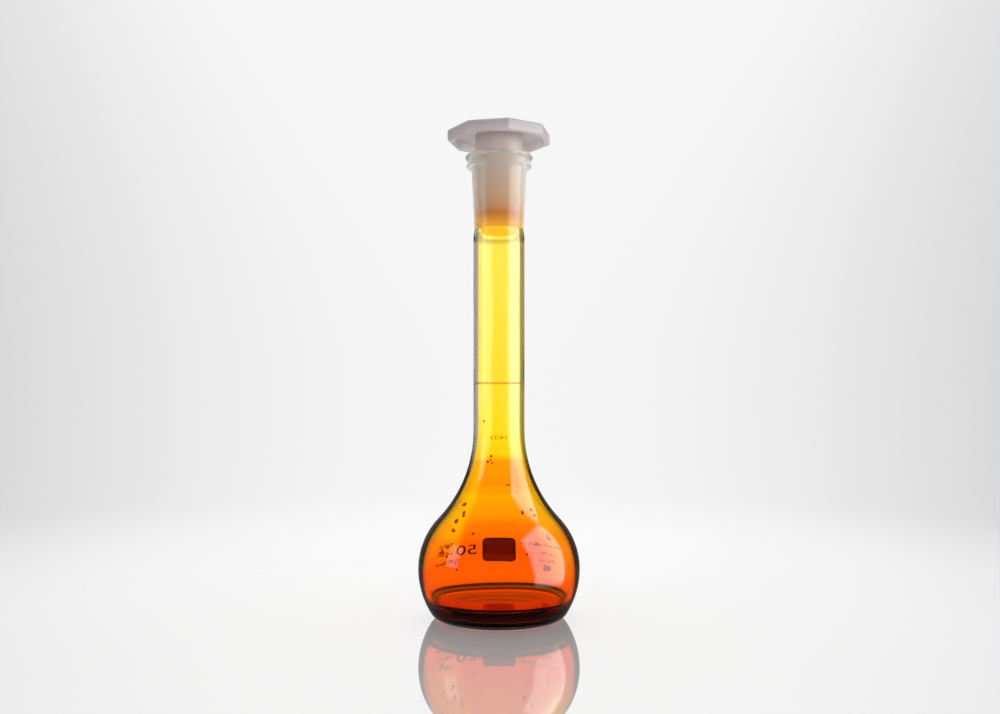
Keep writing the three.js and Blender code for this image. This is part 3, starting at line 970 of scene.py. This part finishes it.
    def strokes(self, bm, first, last, low, high):
        """Groups of three to seven marks, with a wider gap after each group, up to the end of the row."""
        radius = self.surface.radius_at((low + high) / 2)
        small = low + (high - low) * 0.72
        azimuth = first
        while True:
            for _ in range(random.randint(3, 7)):
                wide = random.uniform(0.45, 0.75) * MM / radius
                if azimuth + wide > last:
                    return
                top = high if random.random() < 0.35 else small
                self.glyph(bm, azimuth, azimuth + wide, low, top)
                azimuth += wide + 0.2 * MM / radius
            azimuth += 0.5 * MM / radius

    def glyph(self, bm, first, last, low, high):
        """One mark of the row: a stem, with a bar at its top or foot."""
        thin = 0.3 * MM
        stem = (last - first) * 0.45
        self.strip(bm, first, first + stem, low, high, 2, 1)
        bar = low if random.random() < 0.5 else high - thin
        self.strip(bm, first + stem * 1.02, last, bar, bar + thin, 1, 2)

    def figures(self, bm, text, first, last, low, high):
        """Plain figures, made flat and then bent on to the glass. They read from outside."""
        data = bpy.data.curves.new("figures", "FONT")
        data.body = text
        holder = new_object("figures", data)
        flat = bpy.data.meshes.new_from_object(holder)
        bpy.data.objects.remove(holder)
        bpy.data.curves.remove(data)
        bm.from_mesh(flat)
        bpy.data.meshes.remove(flat)
        bmesh.ops.remove_doubles(bm, verts=bm.verts[:], dist=1e-5)
        left, right = min(v.co.x for v in bm.verts), max(v.co.x for v in bm.verts)
        foot, head = min(v.co.y for v in bm.verts), max(v.co.y for v in bm.verts)
        for vertex in bm.verts:
            across = (vertex.co.x - left) / (right - left)
            up = (vertex.co.y - foot) / (head - foot)
            vertex.co = self.on_glass(last + (first - last) * across, low + (high - low) * up)


class FLASK_OT_solution(bpy.types.Operator):
    """The solution standing in the bulb, and the drops left on the glass above it"""
    bl_idname = "flask.solution"
    bl_label = "Solution"

    def execute(self, context):
        glass = context.scene.flask_glass
        solution = context.scene.flask_solution
        inside = inside_shape(glass)
        self.pool(glass, solution)
        self.meniscus_shade_ring(inside, solution)
        self.drops(inside, solution)
        return {"FINISHED"}

    def pool(self, glass, solution):
        """The liquid, whose surface climbs the wall in a small curve."""
        floor = glass.floor_thickness - solution.overlap
        wet = BulbShape(glass, solution.overlap - glass.bulb_wall, floor,
                        glass.floor_corner + solution.overlap, glass.neck_radius, glass.flare_radius)
        level = solution_high.z
        lift = math.degrees(math.asin(min(1.0, (level + solution.climb - wet.corner_z) / wet.corner)))
        points = line(0, floor, wet.corner_r, floor, steps=4)
        points += arc(wet.corner_r, wet.corner_z, wet.corner, -90, min(lift, wet.corner_lift), steps=16)
        edge, crest = points[-1]
        points += curve(16, lambda share: (
            edge - solution.reach * share, level + (crest - level) * (1 - share) ** 3))
        points += line(edge - solution.reach, level, 0, level, steps=10)
        finish_piece(turned(points), "solution_liquid", "flask", ["solution"],
                     [amber_solution(solution)])

    def meniscus_shade_ring(self, inside, solution):
        """Painted shade: a dark ring round the wall just above the surface, for the dark line the meniscus
        makes.
        """
        low = solution_high.z + solution.climb
        points = [(inside.radius_at(low), low)]
        for i in range(1, 9):
            angle = math.pi * i / 8
            z = low + solution.tide / 2 * (1 - math.cos(angle))
            points.append((inside.radius_at(z) - solution.shade_ring_depth * math.sin(angle), z))
        bm = turned(points, closed=True)
        finish_piece(bm, "meniscus_shade_ring", "flask", [], [meniscus_shade_material(solution)])

    def drops(self, inside, solution):
        """Drops cling inside the wall in loose groups, each a flattened dome stretched down the wall."""
        random.seed(50)
        # Each group's direction from -Y towards +X, height, number of drops, spread and largest size, in
        # degrees and millimetres.
        groups = [
            (-118, 34, 2, 0.8, 0.85), (-127, 29, 3, 2, 1), (-131, 25, 2, 1.2, 0.8), (-156, 24, 1, 0.5, 0.7),
            (-126, 17.5, 5, 2.6, 0.7), (-137, 13, 3, 1.6, 0.5), (163, 40, 2, 0.8, 0.6), (150, 37, 1, 0.5, 0.5),
            (134, 31.5, 3, 2, 0.8), (152, 30, 2, 1.2, 0.75), (147, 22, 3, 2.2, 0.7), (127, 23, 3, 1.4, 0.8),
            (136, 13.5, 5, 1.8, 1), (155, 15, 2, 1.6, 0.5), (201, 48, 4, 1.3, 0.5), (234, 60.8, 1, 0.3, 0.6),
            (-20, 12, 2, 2, 0.3), (15, 30, 2, 2, 0.3),
        ]
        bm = bmesh.new()
        for direction, height, count, spread, size in groups:
            for _ in range(count):
                z = (height + random.uniform(-spread, spread)) * MM
                radius = inside.radius_at(z)
                azimuth = math.radians(direction) + random.uniform(-spread, spread) * MM / radius
                drop = size * random.uniform(0.5, 1.0) * MM
                made = bmesh.ops.create_uvsphere(bm, u_segments=14, v_segments=8, radius=drop)["verts"]
                bmesh.ops.scale(bm, verts=made, vec=(1.0, 0.75, random.uniform(0.9, 1.1)))
                bmesh.ops.translate(bm, verts=made, vec=(0, -radius + 0.4 * drop, z))
                bmesh.ops.rotate(bm, verts=made, cent=(0, 0, 0), matrix=Matrix.Rotation(azimuth, 3, "Z"))
        finish_piece(bm, "clinging_drops", "flask", [], [solution_drop(solution)])


class FLASK_PT_panel(bpy.types.Panel):
    """Lists the flask's pieces and their settings"""
    bl_label = "Volumetric Flask"
    bl_idname = "FLASK_PT_panel"
    bl_space_type = "VIEW_3D"
    bl_region_type = "UI"
    bl_category = "Flask"

    def draw(self, context):
        for operator in OPERATORS:
            self.layout.operator(operator.bl_idname)
        for group in SETTINGS:
            box = self.layout.box()
            settings = getattr(context.scene, group)
            for name in settings.__annotations__:
                box.prop(settings, name, text=name.replace("_", " ").capitalize())


SETTINGS = {
    "flask_glass": FlaskGlassSettings,
    "flask_socket": FlaskSocketSettings,
    "flask_stopper": FlaskStopperSettings,
    "flask_marks": FlaskMarkSettings,
    "flask_solution": FlaskSolutionSettings,
    "flask_stage": FlaskStageSettings,
}
OPERATORS = [FLASK_OT_stage, FLASK_OT_body, FLASK_OT_socket, FLASK_OT_stopper, FLASK_OT_marks,
             FLASK_OT_solution]


def register():
    for name, group in SETTINGS.items():
        bpy.utils.register_class(group)
        setattr(bpy.types.Scene, name, PointerProperty(type=group))
    for operator in OPERATORS:
        bpy.utils.register_class(operator)
    bpy.utils.register_class(FLASK_PT_panel)


def unregister():
    bpy.utils.unregister_class(FLASK_PT_panel)
    for operator in reversed(OPERATORS):
        bpy.utils.unregister_class(operator)
    for name, group in SETTINGS.items():
        delattr(bpy.types.Scene, name)
        bpy.utils.unregister_class(group)


def main():
    register()
    bpy.ops.flask.stage()
    bpy.ops.flask.body()
    bpy.ops.flask.socket()
    bpy.ops.flask.stopper()
    bpy.ops.flask.marks()
    bpy.ops.flask.solution()


if __name__ == "__main__":
    main()
